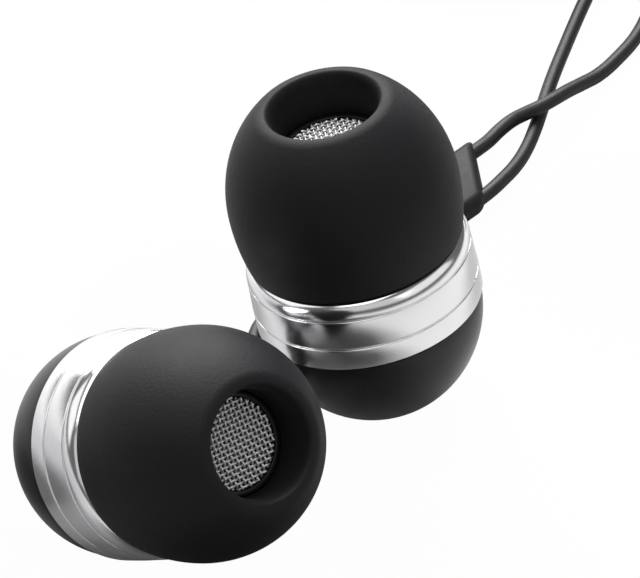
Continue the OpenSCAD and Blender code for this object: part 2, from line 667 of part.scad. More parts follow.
// Plug, drawn along +Z from the end of its strain relief and laid along +X
module at_plug() {
    translate([plug_x, plug_y, plug_z]) rotate([0, 90, 0]) children();
}
ring_gap = 0.6;                               // width of each insulating ring
tip_long = 3.6;
ring_contact = 2.2;
function contact_ends() = let (base = plug_relief + handle_long, end = base + pin_long)
    [base, end - tip_long - ring_contact - 2 * ring_gap, end - tip_long - ring_contact - ring_gap,
     end - tip_long - ring_gap, end - tip_long, end];
core_r = 0.9;                                 // plastic core that joins the insulating rings
module plug_contacts() {
    e = contact_ends();
    color("#d8d9db") at_plug() {
        band(pin_r, core_r + seat, e[0] + seat, e[1] - e[0] - 2 * seat);
        band(pin_r, core_r + seat, e[2] + seat, e[3] - e[2] - 2 * seat);
        rotate_extrude($fn = 48) polygon([[core_r + seat, e[4] + seat], [pin_r, e[4] + seat],
            [pin_r, e[4] + 0.5], [pin_r - 0.35, e[4] + 1.1], [pin_r, e[4] + 1.9],
            [pin_r - 0.5, e[5] - 0.6], [0.5, e[5]], [0, e[5]], [0, e[5] - 1], [core_r + seat, e[5] - 1]]);
    }
}
module plug_insulators() {
    e = contact_ends();
    color("#101012") at_plug() union() {
        translate([0, 0, e[1]]) cylinder(r = pin_r - 0.03, h = ring_gap);
        translate([0, 0, e[3]]) cylinder(r = pin_r - 0.03, h = ring_gap);
        translate([0, 0, e[0] - 2]) cylinder(r = core_r, h = e[5] - 1 - seat - e[0] + 2);
    }
}
module plug_handle() {
    h = handle_long;
    color("#1c1b1e") at_plug() translate([0, 0, plug_relief]) difference() {
        rotate_extrude() polygon([[0, 0], [handle_r - 0.5, 0], [handle_r, 0.7], [handle_r, h - 3],
            [handle_r - 0.3, h - 1.2], [handle_r - 0.3, h - 0.3], [handle_r - 0.55, h], [0, h]]);
        translate([0, 0, h - 2 - seat]) cylinder(r = core_r + seat, h = 3);
        translate([0, 0, -cut]) cylinder(r = main_cord_r + seat, h = cut + seat);
    }
}
module plug_strain_relief() {
    from = main_cord_r + 0.35;
    to = handle_r - 0.7;
    steps = 5;
    w = (plug_relief - 0.9) / steps;
    color("#18171a") at_plug() rotate_extrude($fn = 48) polygon(concat(
        [[main_cord_r + seat, 0], [from, 0]],
        [for (i = [0:steps - 1]) let (r = from + (to - from) * i / steps, z = 0.4 + w * i)
            each [[r + 0.02, z], [r + 0.1, z + w * 0.55], [r - 0.12, z + w * 0.6], [r - 0.1, z + w * 0.95]]],
        [[to, plug_relief - 0.4], [to, plug_relief - seat], [main_cord_r + seat, plug_relief - seat]]));
}

// Wound cords
module coil(path, r, name) {
    echo(str("least gap of ", name), least_gap(path, 2 * r));
    color("#17161a") tube(path, r, 6);
}

at_bud(left) ear_tip();  // left_ear_tip
at_bud(left) nozzle_housing();  // left_nozzle_housing
at_bud(left) nozzle_mesh();  // left_nozzle_mesh
at_bud(left) nozzle_damper();  // left_nozzle_damper
at_bud(left) metal_ring();  // left_metal_ring
at_bud(left) rear_dome();  // left_rear_dome
at_bud(left) strain_relief();  // left_strain_relief
at_bud(left) vent_felt();  // left_vent_felt
at_bud(left) driver_cover();  // left_driver_cover
at_bud(left) surround();  // left_surround
at_bud(left) diaphragm();  // left_diaphragm
at_bud(left) voice_coil();  // left_voice_coil
at_bud(left) top_plate();  // left_top_plate
at_bud(left) magnet();  // left_magnet
at_bud(left) yoke();  // left_yoke
at_bud(left) driver_frame();  // left_driver_frame
at_bud(left) terminal_board();  // left_terminal_board
at_bud(left) lead_wires();  // left_lead_wires
at_bud(left) cord_crimp();  // left_cord_crimp
at_bud(right) ear_tip();  // right_ear_tip
at_bud(right) nozzle_housing();  // right_nozzle_housing
at_bud(right) nozzle_mesh();  // right_nozzle_mesh
at_bud(right) nozzle_damper();  // right_nozzle_damper
at_bud(right) metal_ring();  // right_metal_ring
at_bud(right) rear_dome();  // right_rear_dome
at_bud(right) strain_relief();  // right_strain_relief
at_bud(right) vent_felt();  // right_vent_felt
at_bud(right) driver_cover();  // right_driver_cover
at_bud(right) surround();  // right_surround
at_bud(right) diaphragm();  // right_diaphragm
at_bud(right) voice_coil();  // right_voice_coil
at_bud(right) top_plate();  // right_top_plate
at_bud(right) magnet();  // right_magnet
at_bud(right) yoke();  // right_yoke
at_bud(right) driver_frame();  // right_driver_frame
at_bud(right) terminal_board();  // right_terminal_board
at_bud(right) lead_wires();  // right_lead_wires
at_bud(right) cord_crimp();  // right_cord_crimp
color("#17161a") tube(concat(left_route, into(left_coil)), bud_cord_r);  // left_cord
coil(left_coil, bud_cord_r, "left cord coil");  // left_cord_coil
color("#17161a") tube(left_tail, bud_cord_r);  // left_cord_tail
color("#17161a") tube(concat(right_route, into(right_coil)), bud_cord_r);  // right_cord
coil(right_coil, bud_cord_r, "right cord coil");  // right_cord_coil
color("#17161a") tube(right_tail, bud_cord_r);  // right_cord_tail
bud_tie(left_coil_at, 200);  // left_cord_tie
bud_tie(right_coil_at, -20);  // right_cord_tie
cord_slider();
y_splitter();
color("#17161a") tube(main_route, main_cord_r);  // main_cord
coil(main_coil, main_cord_r, "main cord coil");  // main_cord_coil
color("#17161a") tube(main_tail, main_cord_r);  // main_cord_tail
main_ties();  // main_cord_ties
plug_contacts();
plug_insulators();
plug_handle();
plug_strain_relief();
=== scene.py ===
# Wired in-ear earphones: two buds lying beside each other, with the slider, splitter,
# wound-up cords and plug behind them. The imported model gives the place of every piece.
import math

import bpy
from mathutils import Matrix, Vector


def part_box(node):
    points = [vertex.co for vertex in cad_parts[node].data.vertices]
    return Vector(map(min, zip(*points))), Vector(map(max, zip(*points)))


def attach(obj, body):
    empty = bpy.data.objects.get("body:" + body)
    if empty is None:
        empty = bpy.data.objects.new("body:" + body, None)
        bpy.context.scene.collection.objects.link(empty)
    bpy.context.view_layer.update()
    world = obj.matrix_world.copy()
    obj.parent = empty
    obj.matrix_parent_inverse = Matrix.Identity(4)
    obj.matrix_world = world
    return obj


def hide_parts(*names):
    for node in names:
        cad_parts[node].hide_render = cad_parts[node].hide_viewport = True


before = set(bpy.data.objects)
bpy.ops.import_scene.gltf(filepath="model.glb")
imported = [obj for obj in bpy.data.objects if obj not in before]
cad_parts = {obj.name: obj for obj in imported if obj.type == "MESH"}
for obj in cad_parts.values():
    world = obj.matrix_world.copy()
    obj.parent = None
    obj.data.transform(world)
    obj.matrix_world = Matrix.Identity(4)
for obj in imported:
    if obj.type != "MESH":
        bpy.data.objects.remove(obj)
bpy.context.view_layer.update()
bpy.ops.object.select_all(action="DESELECT")
mm = 0.001

# ---- Camera -------------------------------------------------------------------------
# A long lens at 45 degrees above the front of the buds, which keeps them nearly free of
# perspective.
look_at = Vector((3.82, 14.4, 0)) * mm
camera_lean = math.radians(45)
camera_away = 700 * mm
bpy.ops.object.camera_add(
    location=look_at + camera_away * Vector((0, -math.cos(camera_lean), math.sin(camera_lean))),
    rotation=(math.pi / 2 - camera_lean, 0, 0),
)
camera = bpy.context.object
camera.data.sensor_width = 36
camera.data.lens = 714.7
bpy.context.scene.camera = camera

# ---- How the buds lie ---------------------------------------------------------------
# Each bud has its own frame: the origin is the seam between ring and dome, Z runs out
# through the ear tip and X is the side of the strain relief. The magnet gives its place.
magnet_middle = -0.305 * mm


def bud_frame(side, lean, way, roll):
    turn = (
        Matrix.Rotation(math.radians(way), 4, "Z")
        @ Matrix.Rotation(math.radians(lean), 4, "Y")
        @ Matrix.Rotation(math.radians(roll), 4, "Z")
    )
    low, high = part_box(side + "_magnet")
    return Matrix.Translation((low + high) / 2 - turn @ Vector((0, 0, magnet_middle))) @ turn


buds = {
    "left": bud_frame("left", lean=53, way=-47, roll=67.5),
    "right": bud_frame("right", lean=15.5, way=137, roll=-41),
}

# ---- Cords --------------------------------------------------------------------------
# Two bud cords of 0.8 mm and a main cord of 1.8 mm, each with a smooth soft jacket over
# fine strands. The length that isn't laid out is wound into round coils.
bud_cord_d = 0.8
main_cord_d = 1.8
turn_gap = 0.45
cord_black = (0.0095, 0.009, 0.0105, 1)


class Wire:
    """An output of a finish's node; sums and products of wires add Math nodes."""

    def __init__(self, finish, socket):
        self.finish = finish
        self.socket = socket

    def maths(self, operation, a, b):
        return self.finish.node("ShaderNodeMath", {0: a, 1: b}, operation=operation)

    def __add__(self, other):
        return self.maths("ADD", self, other)

    def __mul__(self, other):
        return self.maths("MULTIPLY", self, other)

    __radd__ = __add__
    __rmul__ = __mul__


class Finish:
    """A material whose Principled shader is fed by plain values or by wires."""

    def __init__(self, name, **values):
        self.material = bpy.data.materials.new(name)
        self.material.use_nodes = True
        self.tree = self.material.node_tree
        self.shader = self.tree.nodes["Principled BSDF"]
        self.set(**values)

    def feed(self, node, values):
        for key, value in values.items():
            if isinstance(value, Wire):
                self.tree.links.new(value.socket, node.inputs[key])
            else:
                node.inputs[key].default_value = value

    def node(self, kind, values=(), output=0, **settings):
        made = self.tree.nodes.new(kind)
        for key, value in settings.items():
            setattr(made, key, value)
        self.feed(made, dict(values))
        return Wire(self, made.outputs[output])

    def grain(self, scale, detail=2, stretch=(1, 1, 1), where="Object"):
        """Noise from 0 to 1, with scale spots to the metre or, on UV, to the turn and mm."""
        place = self.node("ShaderNodeTexCoord", output=where)
        place = self.node("ShaderNodeMapping", {"Vector": place, "Scale": stretch})
        return self.node("ShaderNodeTexNoise", {"Vector": place, "Scale": scale, "Detail": detail})

    def blend(self, share, low, high):
        return self.node("ShaderNodeMix", {0: share, 6: low, 7: high}, output=2, data_type="RGBA")

    def bumps(self, height, depth):
        """A surface raised by height, which runs from 0 to 1, times depth in millimetres."""
        return self.node("ShaderNodeBump", {"Height": height, "Distance": depth * mm})

    def set(self, **values):
        self.feed(self.shader, {key.replace("_", " "): value for key, value in values.items()})


jacket = Finish("cord_jacket", Specular_IOR_Level=0.35)
jacket_grain = jacket.grain(2500)
jacket.set(
    Base_Color=jacket.blend(jacket_grain, cord_black, (0.014, 0.013, 0.015, 1)),
    Roughness=0.42 + 0.12 * jacket_grain,
    Normal=jacket.bumps(jacket_grain, 0.0007),
)

# The straight stretch through the slider, and where each cord lies beside its middle line
slide_start = Vector((7.79, 17.79, 0.8))
slide_turn = Matrix.Rotation(math.radians(45), 3, "Z")
slide_run = 8.4
slide_gap = 1.42


def on_slide(along, side):
    return slide_start + slide_turn @ Vector((along, -side * slide_gap, 0))


# Each bud cord starts inside the dome, this far from the bud's axis and behind the seam
cord_start = 2.9
relief_end = 9.6
relief_back = 2.2


def from_bud(side, radial):
    return buds[side] @ Vector((radial * mm, 0, -relief_back * mm)) / mm


left_route = [
    from_bud("left", cord_start), from_bud("left", relief_end),
    (1.2, 2.8, 1.7), (1.4, 3.9, 1.1), (1.2, 5.1, 0.65), (0.8, 6.5, 0.45), (0.4, 8.1, 0.4),
    (0.2, 9.6, 0.4), (0.4, 10.9, 0.4), (1.1, 12, 0.4), (2.2, 12.9, 0.4), (3.7, 13.6, 0.4),
    (5.5, 14.3, 0.4), (7.2, 15.3, 0.6),
    on_slide(0, 1), on_slide(slide_run / 3, 1), on_slide(slide_run * 0.72, 1),
    (14, 22.4, 0.65), (14.7, 23.6, 0.5), (15.3, 25, 0.4), (15.8, 26.6, 0.4),
    (16.2, 28.2, 0.4), (16.8, 30.6, 0.4), (17.5, 33, 0.4), (18.3, 35.6, 0.4),
    (19.2, 38.4, 0.4), (20, 41.4, 0.5),
]
right_route = [
    from_bud("right", cord_start), from_bud("right", relief_end),
    (6, 16.8, 1.9), (6.2, 17.9, 1.2),
    on_slide(0, -1), on_slide(slide_run / 2, -1), on_slide(slide_run, -1),
    (13.2, 25.4, 0.65), (13.9, 26.4, 0.6), (14.6, 27, 0.75), (15.3, 27.2, 1.05), (16, 27.4, 1.3),
    (16.7, 27.9, 1.35), (17.6, 28.85, 1.15), (18.5, 29.9, 0.75), (19.4, 30.9, 0.45),
    (20.5, 32.3, 0.4), (21.7, 34.3, 0.4), (22.5, 36.8, 0.4), (22.8, 39.4, 0.4), (22.75, 42, 0.5),
]

# Piled loops: each layer spirals in or out at a steady rate, and the cord climbs a layer
# in the half turn where the spiral reverses
coil_points = 24


def wound(middle, start, sense, mid_r, pitch, turns, layers):
    """Points of a coil wound from its outermost turn, which starts at start degrees."""
    start = math.radians(start)
    outer = mid_r + turns * pitch / 2
    count = round(turns * layers * coil_points)
    points = []
    for step in range(count + 1):
        done = step / count * turns * layers
        layer = min(int(done / turns), layers - 1)
        share = done / turns - layer
        radius = outer - turns * pitch * (share if layer % 2 == 0 else 1 - share)
        climbs = [max(0, min(1, 2 * (done - turns * k) + 0.5)) for k in range(1, layers)]
        height = pitch * sum(c * c * (3 - 2 * c) for c in climbs)
        angle = start + sense * math.tau * done
        points.append(middle + Vector((radius * math.cos(angle), radius * math.sin(angle), height)))
    return points


# Where the coils lie, beside the line on which both bud cords meet. They stand on their ties.
bud_pitch = bud_cord_d + turn_gap
main_pitch = main_cord_d + turn_gap
bud_coil_r = 6.1
main_coil_r = 9.6
bud_turns = 3
main_turns = 3.575
bud_layers = 2
main_layers = 4
bud_coil_y = 46.5
main_coil_y = 70
pair_x = 21.57
leg_gap = 1.14
seat = 0.02
small_tie = 0.3
main_tie = 0.5
bud_coil_out = bud_coil_r + bud_turns * bud_pitch / 2
main_coil_out = main_coil_r + main_turns * main_pitch / 2
coil_at = {
    "left": Vector((pair_x - leg_gap - bud_coil_out, bud_coil_y, bud_cord_d / 2 + small_tie + seat)),
    "right": Vector((pair_x + leg_gap + bud_coil_out, bud_coil_y, bud_cord_d / 2 + small_tie + seat)),
    "main": Vector((pair_x - main_coil_out, main_coil_y, main_cord_d / 2 + main_tie + seat)),
}

# From the bud coils into the splitter, and from the splitter to the plug, whose handle lies
# on the main coil
splitter_y = 52
splitter_long = 8
split_z = 1.45
leg_in = 1
socket = 2
handle_r = 2.8
plug_x = 2.6
plug_y = main_coil_y
plug_z = coil_at["main"].z + (main_layers - 1) * main_pitch + main_cord_d / 2 + handle_r + 0.1


def led_in_and_out(coil, middle, sense, diameter):
    """The coil's points, with a straight stretch of cord before and after them."""
    lead = diameter + 1
    out = (coil[-1] - middle).to_2d()
    way = Vector((-out.y, out.x, 0)).normalized() * sense
    return [coil[0] - Vector((0, lead, 0))] + coil + [coil[-1] + lead * way]


def leg(side):
    return [
        (pair_x + side * leg_gap, 49.5, 1.75), (pair_x + side * leg_in, 50.8, 1.5),
        (pair_x + side * leg_in, splitter_y, split_z),
        (pair_x + side * leg_in, splitter_y + socket, split_z),
    ]


left_coil = led_in_and_out(
    wound(coil_at["left"], 0, 1, bud_coil_r, bud_pitch, bud_turns, bud_layers),
    coil_at["left"], 1, bud_cord_d)
right_coil = led_in_and_out(
    wound(coil_at["right"], 180, -1, bud_coil_r, bud_pitch, bud_turns, bud_layers),
    coil_at["right"], -1, bud_cord_d)
main_coil = led_in_and_out(
    wound(coil_at["main"], 0, 1, main_coil_r, main_pitch, main_turns, main_layers),
    coil_at["main"], 1, main_cord_d)
neck_y = splitter_y + splitter_long
main_route = [
    (pair_x, neck_y - socket, split_z), (pair_x, neck_y, split_z), (pair_x, 61.8, 1.25),
    (pair_x, 63.6, 1.05), (pair_x, 65.4, 1.15),
]
main_tail = [
    (-3.2, 79.2, 8.9), (-5, 76.4, 9.8), (-5.2, 73.6, 10.8), (-3.9, 71.3, 11.7),
    (-1.4, plug_y + 0.1, plug_z), (plug_x, plug_y, plug_z), (plug_x + socket, plug_y, plug_z),
]


def laid_cord(name, points, diameter, nodes):
    """A cord of that diameter through the points, which stands for its CAD nodes."""
    line = bpy.data.curves.new(name, "CURVE")
    line.dimensions = "3D"
    line.bevel_depth = diameter / 2 * mm
    line.bevel_resolution = 5
    line.resolution_u = 4
    line.use_fill_caps = True
    spline = line.splines.new("BEZIER")
    spline.bezier_points.add(len(points) - 1)
    for knot, point in zip(spline.bezier_points, points):
        knot.co = Vector(point) * mm
        knot.handle_left_type = knot.handle_right_type = "AUTO"
    cord = bpy.data.objects.new(name, line)
    bpy.context.collection.objects.link(cord)
    line.materials.append(jacket.material)
    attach(cord, "earphones")
    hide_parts(*nodes)
    return cord


bud_cords = {
    side: laid_cord(
        f"{side}_bud_cord", route + coil + leg(way), bud_cord_d,
        [f"{side}_cord", f"{side}_cord_coil", f"{side}_cord_tail"],
    )
    for side, way, route, coil in (
        ("left", -1, left_route, left_coil), ("right", 1, right_route, right_coil))
}
main_line = laid_cord(
    "main_line", main_route + main_coil + main_tail, main_cord_d,
    ["main_cord", "main_cord_coil", "main_cord_tail"],
)

# ---- Turned pieces ------------------------------------------------------------------
# Most pieces of a bud and of the plug are round: an outline of radius and height is spun
# about its axis, and the finished piece takes the place of a packed one.


def picked(piece):
    """Selects this piece alone."""
    bpy.ops.object.select_all(action="DESELECT")
    bpy.context.view_layer.objects.active = piece
    piece.select_set(True)
    return piece


def smoothed(piece):
    """Shades a piece smooth, but for its edges of over 35 degrees."""
    picked(piece)
    bpy.ops.object.shade_smooth_by_angle(angle=math.radians(35))
    return piece


def arc(centre, size, start, end, steps):
    """Points along part of an ellipse, as (radius, height)."""
    angles = [math.radians(start + (end - start) * k / steps) for k in range(steps + 1)]
    return [(centre[0] + size[0] * math.cos(a), centre[1] + size[1] * math.sin(a)) for a in angles]


def rounded(corners, rounding, steps=4):
    """The closed outline through corners of (radius, height), eased by a curve that starts
    rounding away from each, or as far as the corner's own third number says."""
    points = []
    for before, corner, after in zip([corners[-1]] + corners, corners, corners[1:] + [corners[0]]):
        here = Vector(corner[:2])
        back = Vector(before[:2]) - here
        on = Vector(after[:2]) - here
        reach = corner[2] if len(corner) > 2 else rounding
        if not reach:
            points.append(tuple(here))
            continue
        reach = min(reach, 0.45 * back.length, 0.45 * on.length)
        a = here + back.normalized() * reach
        b = here + on.normalized() * reach
        for k in range(steps + 1):
            t = k / steps
            points.append(tuple(a * (1 - t) ** 2 + here * 2 * t * (1 - t) + b * t * t))
    return points + [points[0]]


def turned(name, outline, steps=128):
    """A closed outline of (radius, height) points in millimetres, spun round Z."""
    bpy.ops.object.select_all(action="DESELECT")
    bpy.ops.mesh.primitive_plane_add(size=mm)
    piece = bpy.context.object
    piece.name = name
    bpy.ops.object.mode_set(mode="EDIT")
    bpy.ops.mesh.select_all(action="SELECT")
    bpy.ops.mesh.merge(type="CENTER")
    bpy.ops.transform.translate(value=(outline[0][0] * mm, 0, outline[0][1] * mm))
    for (r, z), (next_r, next_z) in zip(outline, outline[1:]):
        bpy.ops.mesh.extrude_vertices_move(
            TRANSFORM_OT_translate={"value": ((next_r - r) * mm, 0, (next_z - z) * mm)}
        )
    bpy.ops.mesh.select_all(action="SELECT")
    bpy.ops.mesh.spin(steps=steps, angle=math.tau, center=(0, 0, 0), axis=(0, 0, 1))
    bpy.ops.mesh.select_all(action="SELECT")
    bpy.ops.mesh.remove_doubles(threshold=1e-6)
    bpy.ops.mesh.normals_make_consistent(inside=False)
    bpy.ops.object.mode_set(mode="OBJECT")
    smoothed(piece)
    wrap = piece.data.uv_layers.active or piece.data.uv_layers.new()
    wrap.name = "round_and_along"
    for face in piece.data.polygons:
        facing = math.atan2(face.center.y, face.center.x)
        for loop in face.loop_indices:
            point = piece.data.vertices[piece.data.loops[loop].vertex_index].co
            angle = math.atan2(point.y, point.x)
            angle += math.tau * round((facing - angle) / math.tau)
            wrap.data[loop].uv = (angle / math.tau, point.z / mm)
    return piece


def dress(piece, finish, node, body="earphones"):
    """Gives a finished piece its material and its body, and has it stand for a CAD node."""
    piece.data.materials.clear()
    piece.data.materials.append(finish.material)
    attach(piece, body)
    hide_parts(node)


def fit_to_buds(piece, finish, node, body="earphones", sides=("left", "right")):
    """Copies a finished piece into each bud, where it stands for that bud's CAD node."""
    for side in sides:
        copy = piece.copy()
        copy.data = piece.data.copy()
        copy.name = f"{side}_{piece.name}"
        bpy.context.collection.objects.link(copy)
        copy.data.transform(buds[side])
        dress(copy, finish, f"{side}_{node}", body.replace("SIDE", side))
    bpy.data.objects.remove(piece)


# ---- Metal rings --------------------------------------------------------------------
# A turned and polished ring with a narrow band, a groove, a wide band, a second groove
# and a rounded shoulder under the ear tip.
ring_r = 6.25
ring_front_r = 6.2
ring_bore_r = 5.6
ring_long = 4.04
lip_bore_r = 5.2
lip_back = 3.34
groove_w = 0.12
groove_deep = 0.1
narrow_band = 1.2
wide_band = 1.7
second_groove = narrow_band + groove_w + wide_band
shoulder_z = second_groove + groove_w
shoulder_round = 0.5
front_land = 0.6
polish = Finish("polished_metal", Metallic=1, Base_Color=(0.85, 0.85, 0.86, 1))
turning = polish.grain(1, 3, stretch=(3, 160, 1), where="UV")
wear = polish.grain(700, 4)
polish.set(
    Roughness=0.07 + 0.1 * turning + 0.06 * wear,
    Normal=polish.bumps(turning, 0.0012),
)
shoulder = arc(
    (ring_front_r - shoulder_round, shoulder_z), (shoulder_round, ring_long - shoulder_z), 10, 80, 12)
ring = turned(
    "polished_ring",
    rounded(
        [
            (ring_bore_r, 0), (ring_r, 0), (ring_r, narrow_band, 0.09),
            (ring_r - groove_deep, narrow_band + groove_w / 4),
            (ring_r - groove_deep, narrow_band + groove_w * 3 / 4),
            (ring_r, narrow_band + groove_w, 0.12), (ring_front_r, second_groove, 0.09),
            (ring_front_r - groove_deep, second_groove + groove_w / 4),
            (ring_front_r - groove_deep, second_groove + groove_w * 3 / 4),
            (ring_front_r, shoulder_z, 0.07),
        ]
        + [(r, z, 0) for r, z in shoulder]
        + [(ring_front_r - front_land, ring_long, 0), (lip_bore_r, ring_long), (lip_bore_r, lip_back),
           (ring_bore_r, lip_back)],
        0.04,
    ),
)
fit_to_buds(ring, polish, "metal_ring")

# ---- Rear domes ---------------------------------------------------------------------
# A gloss moulding, hollow, with a spigot that is glued into the ring, a boss for the
# strain relief and a pinhole vent at its pole.
dome_r = 6.13
dome_depth = 6.45
dome_wall = 0.8
dome_edge = 0.08
seam_gap = 0.12
fit = 0.04
spigot = 1.95
spigot_r = 5.56
spigot_in = 4.96
vent_r = 0.35
boss_end = 6.9
boss_deep = 1.4
boss_r = 1.75
relief_r = 1.3
flange_r = 1.6
flange_out = 4.42
gloss = Finish("black_shell", Specular_IOR_Level=0.3)
gloss_wear = gloss.grain(260, 5)
gloss.set(
    Base_Color=gloss.blend(gloss_wear, (0.0075, 0.007, 0.0085, 1), (0.01, 0.0095, 0.011, 1)),
    Roughness=0.24 + 0.1 * gloss_wear,
    Normal=gloss.bumps(gloss.grain(1800), 0.0006),
)
pole = math.degrees(math.asin(vent_r / dome_r))
inner_r = dome_r - dome_wall
inner_depth = dome_depth - dome_wall
shell_turn = math.degrees(math.acos(spigot_in / inner_r))
outside = arc((0, -seam_gap), (dome_r, -dome_depth), 3, 90 - pole, 48)
inside = arc((0, -seam_gap), (inner_r, -inner_depth), 86, shell_turn, 30)
dome = turned(
    "dome_shell",
    [(spigot_in, spigot), (spigot_r, spigot), (spigot_r, -seam_gap), (dome_r - dome_edge, -seam_gap),
     (dome_r - dome_edge / 4, -seam_gap - dome_edge / 2)] + outside + inside + [(spigot_in, spigot)],
)


def rod(radius, start, end):
    """A cylinder between two points in millimetres, to join to a piece or cut it with."""
    start, end = Vector(start) * mm, Vector(end) * mm
    bpy.ops.mesh.primitive_cylinder_add(
        vertices=64, radius=radius * mm, depth=(end - start).length,
        location=(start + end) / 2, rotation=(end - start).to_track_quat("Z", "Y").to_euler(),
    )
    return bpy.context.object


def relief_rod(radius, start, end):
    """A rod on the strain relief's axis, from start to end outwards."""
    return rod(radius, (start, 0, -relief_back), (end, 0, -relief_back))


def eased(piece, width, segments=4):
    """Rounds a piece's sharp edges."""
    picked(piece)
    ease = piece.modifiers.new("ease", "BEVEL")
    ease.width = width * mm
    ease.segments = segments
    ease.limit_method = "ANGLE"
    bpy.ops.object.modifier_apply(modifier=ease.name)
    return piece


def combine(piece, other, operation):
    """Joins or cuts a piece with another one, which is used up."""
    picked(piece)
    bpy.ops.object.modifier_add(type="BOOLEAN")
    change = piece.modifiers[-1]
    change.operation = operation
    change.solver = "EXACT"
    change.object = other
    bpy.ops.object.modifier_apply(modifier=change.name)
    bpy.data.objects.remove(other)


# The boss starts inside the shell, where the hollow cuts it flush. Then come the holes for
# the strain relief and for its flange.
boss = eased(relief_rod(boss_r, inner_r - boss_deep, boss_end), 0.12)
hollow = turned(
    "hollow",
    [(0, 3), (inner_r, 3)] + arc((0, -seam_gap), (inner_r, -inner_depth), 0, 90, 40) + [(0, 3)],
)
combine(boss, hollow, "DIFFERENCE")
combine(dome, boss, "UNION")
combine(dome, relief_rod(relief_r + fit, 0, boss_end + 1), "DIFFERENCE")
combine(dome, relief_rod(flange_r + fit, 0, flange_out + fit), "DIFFERENCE")
fit_to_buds(smoothed(dome), gloss, "rear_dome")

# ---- Nozzles ------------------------------------------------------------------------
# The front half of the shell: a spigot inside the ring, a face and the sound tube, with
# a barb that holds the ear tip and a recess for the mesh.
nozzle_back = spigot + 0.2
nozzle_in_r = 4.92
nozzle_r = 2.65
barb_r = 2.85
nozzle_end = 10.54
barb_long = 1.45
barb_lead = 0.2
face_r = 5.16
face_z = 4.09
cone_r = 3.25
cone_high = 0.65
mesh_r = 2.5
mesh_gap = 0.03
mesh_z = 10.4
mesh_seat_z = mesh_z - 0.16
bore_r = 1.8
damper_r = bore_r + 0.25
damper_back = mesh_z - 0.95
nozzle = turned(
    "nozzle",
    rounded(
        [
            (spigot_r, nozzle_back), (spigot_r, lip_back - fit), (face_r, lip_back - fit),
            (face_r, face_z), (cone_r, face_z + cone_high - 0.15), (nozzle_r, face_z + cone_high),
            (nozzle_r, nozzle_end - barb_long - barb_lead), (barb_r, nozzle_end - barb_long),
            (barb_r, nozzle_end - barb_lead), (barb_r - 0.06, nozzle_end),
            (mesh_r + mesh_gap, nozzle_end), (mesh_r + mesh_gap, mesh_seat_z), (damper_r, mesh_seat_z),
            (damper_r, damper_back), (bore_r, damper_back), (bore_r, face_z + 0.4),
            (bore_r + 0.8, face_z - 0.2), (nozzle_in_r, spigot + 1), (nozzle_in_r, nozzle_back),
        ],
        0.06,
    ),
)
fit_to_buds(nozzle, gloss, "nozzle_housing")

# ---- Woven meshes -------------------------------------------------------------------
# A disc of plain-woven steel wire in the end of the nozzle: each wire passes over one
# and under the next.
wires = 18
wire_d = 0.14
wire_wave = 0.46 * wire_d
weave_turn = {"left": 15, "right": 6}
steel = Finish("steel_wire", Metallic=1, Base_Color=(0.74, 0.74, 0.75, 1))
steel.set(Roughness=0.38 + 0.12 * steel.grain(3000, 3))
wire_pitch = 2 * mesh_r / wires
for side in buds:
    line = bpy.data.curves.new("wires", "CURVE")
    line.dimensions = "3D"
    line.bevel_depth = wire_d / 2 * mm
    line.bevel_resolution = 1
    line.use_fill_caps = True
    for across in (0, 1):
        for number in range(wires):
            offset = (number + 0.5 - wires / 2) * wire_pitch
            half = math.sqrt((mesh_r - mesh_gap) ** 2 - offset ** 2)
            count = max(4, 2 * round(half / wire_pitch * 4))
            spline = line.splines.new("POLY")
            spline.points.add(count)
            for k, point in enumerate(spline.points):
                along = half * (2 * k / count - 1)
                wave = math.cos(math.pi * (along / wire_pitch + wires / 2 - 0.5 + number + across))
                x, y = (offset, along) if across else (along, offset)
                point.co = (x * mm, y * mm, (mesh_z + wire_wave * wave) * mm, 1)
    woven = bpy.data.objects.new("woven_mesh", line)
    bpy.context.collection.objects.link(woven)
    picked(woven)
    bpy.ops.object.convert(target="MESH")
    bpy.ops.object.shade_smooth_by_angle(angle=math.radians(60))
    woven = bpy.context.object
    woven.data.transform(Matrix.Rotation(math.radians(weave_turn[side]), 4, "Z"))
    fit_to_buds(woven, steel, "nozzle_mesh", sides=(side,))

# ---- Ear tips -----------------------------------------------------------------------
# Soft silicone mouldings: an umbrella whose front rolls over a lip into the crater, and
# whose web, under the crater, holds the sleeve that grips the barb of the nozzle.
tip_r = 6.37
skirt_z = 4.19
wide_z = 7.29
tip_front = 7.06
tip_back_axis = 8.97
tip_wall = 0.6
lip_start = 52
lip_round = 0.95
lip_in = 0.35
sleeve_r = 2.9
sleeve_out = 3.6
sleeve_back = 4.84
sleeve_edge = 0.06
web_start = 42
skirt_angle = math.degrees(math.asin((wide_z - skirt_z) / tip_back_axis))
skirt_rim = [
    (5.88, skirt_z - 0.06), (5.72, skirt_z - 0.08), (5.56, skirt_z - 0.03), (5.48, skirt_z + 0.08)]
lip_out, lip_up = math.cos(math.radians(lip_start)), math.sin(math.radians(lip_start))
lip_lean = math.atan2(lip_out / tip_r, lip_up / tip_front)
lip_r = tip_r * lip_out - lip_round * math.sin(lip_lean)
lip_z = wide_z + tip_front * lip_up - lip_round * math.cos(lip_lean)
web_z = wide_z + (tip_front - tip_wall) * math.sin(math.radians(web_start)) - 0.6
throat_r = lip_r - lip_in
silicone = Finish("tip_silicone", Specular_IOR_Level=0.19)
skin = silicone.grain(5000, 3)
mottle = silicone.grain(500, 3)
silicone.set(
    Base_Color=silicone.blend(mottle, (0.006, 0.0053, 0.0068, 1), (0.009, 0.0083, 0.0098, 1)),
    Roughness=0.55 + 0.1 * mottle,
    Normal=silicone.bumps(skin, 0.018),
)
